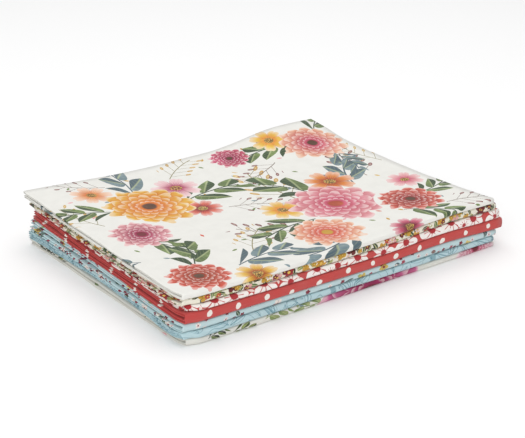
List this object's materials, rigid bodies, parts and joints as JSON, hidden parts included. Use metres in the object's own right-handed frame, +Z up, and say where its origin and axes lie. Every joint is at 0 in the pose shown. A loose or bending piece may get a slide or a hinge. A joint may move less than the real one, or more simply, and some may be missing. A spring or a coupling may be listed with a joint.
{
  "type": "folded fabric bundle",
  "caption": "Stack of printed cotton cuts, each folded in half twice with rounded folds on two sides and open edges on the others.",
  "frame": {"origin": "middle of the bundle's box, on the surface that the bottom cloth lies on", "axes": "+X along the long wrapped folds, +Y from the long wrapped folds to the open ends, +Z up"},
  "size_m": [0.2894, 0.2204, 0.0476],
  "materials": {
    "leaf_bouquet_print": "plain woven quilting cotton, cream ground printed with green leaves and pink bouquets, matt",
    "blue_tonal_print": "plain woven quilting cotton, light blue with a tonal scribble of leaves, matt",
    "blue_floral_print": "plain woven quilting cotton, light blue with small flowers, leaves and berries, matt",
    "red_dot_print": "plain woven quilting cotton, soft red with white dots, matt",
    "red_flower_print": "plain woven quilting cotton, soft red with large white flowers, matt",
    "small_flower_print": "plain woven quilting cotton, cream ground with dense small flowers, matt",
    "large_flower_print": "plain woven quilting cotton, off-white ground with large flowers, matt"
  },
  "bodies": {
    "root": {"cloth_1_leaf_bouquet": "leaf_bouquet_print", "cloth_2_blue_tonal": "blue_tonal_print", "cloth_3_blue_floral": "blue_floral_print", "cloth_4_red_dots": "red_dot_print", "cloth_5_red_flowers": "red_flower_print", "cloth_6_small_flowers": "small_flower_print", "cloth_7_large_flowers": "large_flower_print"}
  },
  "joints": []
}
